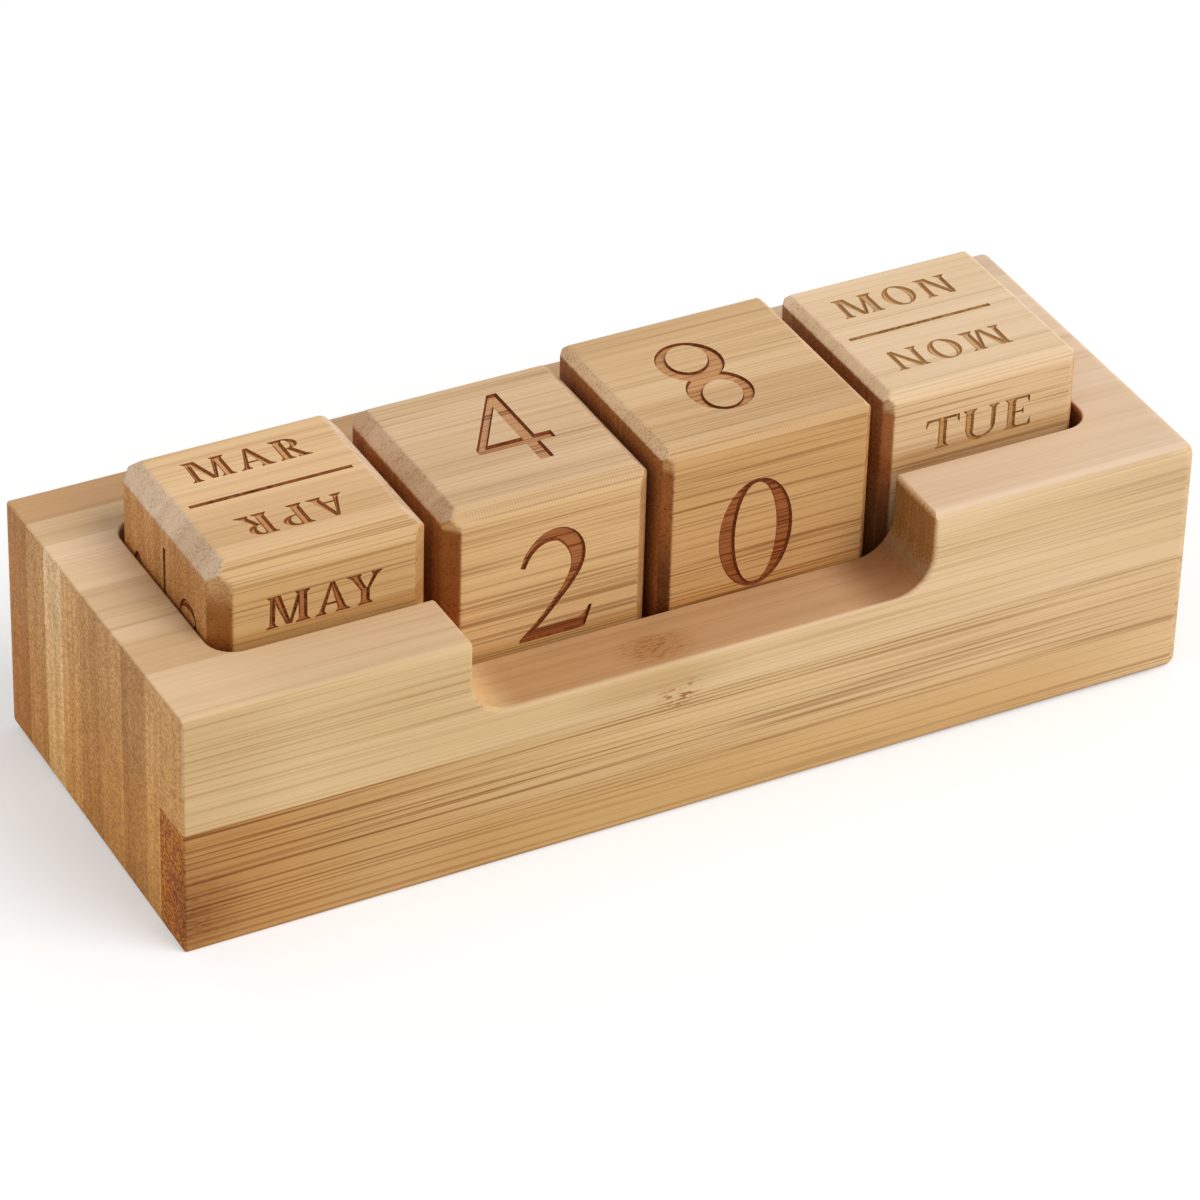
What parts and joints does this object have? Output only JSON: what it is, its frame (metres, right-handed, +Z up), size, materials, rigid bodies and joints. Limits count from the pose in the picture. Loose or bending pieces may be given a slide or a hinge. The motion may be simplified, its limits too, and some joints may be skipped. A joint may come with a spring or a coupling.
{
  "type": "wooden block calendar",
  "caption": "Long bamboo tray with one pocket that holds a row of loose chamfered bamboo blocks for month, day of the month and weekday, with a window cut in its front wall.",
  "frame": {"origin": "middle of the footprint, on the surface the tray stands on", "axes": "+X along the tray to the reader's right, -Y towards the reader, +Z up out of the pocket"},
  "size_m": [0.175, 0.0654, 0.0563],
  "materials": {
    "tray_bamboo": "satin",
    "month_block_bamboo": "satin",
    "tens_cube_bamboo": "satin",
    "units_cube_bamboo": "satin",
    "weekday_block_bamboo": "satin"
  },
  "bodies": {
    "tray": {"tray": "tray_bamboo"},
    "month_block": {"month_block": "month_block_bamboo"},
    "tens_cube": {"tens_cube": "tens_cube_bamboo"},
    "units_cube": {"units_cube": "units_cube_bamboo"},
    "weekday_block": {"weekday_block": "weekday_block_bamboo"}
  },
  "joints": [
    {"name": "month_block_lift", "type": "slide", "parent": "tray", "child": "month_block", "axis": [0, 0, 1], "range_m": [0, 0.03]},
    {"name": "tens_cube_lift", "type": "slide", "parent": "tray", "child": "tens_cube", "axis": [0, 0, 1], "range_m": [0, 0.03]},
    {"name": "units_cube_lift", "type": "slide", "parent": "tray", "child": "units_cube", "axis": [0, 0, 1], "range_m": [0, 0.03]},
    {"name": "weekday_block_lift", "type": "slide", "parent": "tray", "child": "weekday_block", "axis": [0, 0, 1], "range_m": [0, 0.03]}
  ]
}
